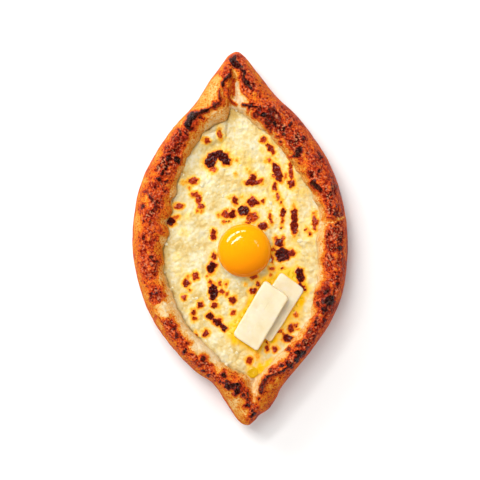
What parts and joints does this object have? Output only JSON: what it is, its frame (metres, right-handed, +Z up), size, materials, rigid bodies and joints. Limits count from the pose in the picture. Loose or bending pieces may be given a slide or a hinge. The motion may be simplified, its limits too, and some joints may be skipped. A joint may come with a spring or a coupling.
{
  "type": "khachapuri",
  "caption": "Open boat-shaped cheese bread with pinched pointed tips and a raised rolled rim, filled with baked white cheese and topped with an egg yolk and slices of butter.",
  "frame": {"origin": "on the surface that the bread rests on, under the middle of its box in plan", "axes": "+Y runs along the boat towards the tip whose folds hold a narrow tongue of dough; +Z is up, through the flat underside and the open top; +X is to the right when +Y points away"},
  "size_m": [0.162, 0.28, 0.0386],
  "materials": {
    "bread_crust": "baked wheat crust: golden to red-brown with charred blisters, matt to satin",
    "baked_cheese": "melted white cheese with browned spots, moist satin",
    "egg_yolk": "raw yolk, wet and glossy",
    "butter": "cut butter, smooth and softly waxy"
  },
  "bodies": {
    "root": {"bread_boat": "bread_crust", "cheese_filling": "baked_cheese", "egg_yolk": "egg_yolk", "butter_pat_lower": "butter", "butter_pat_upper": "butter"}
  },
  "joints": []
}
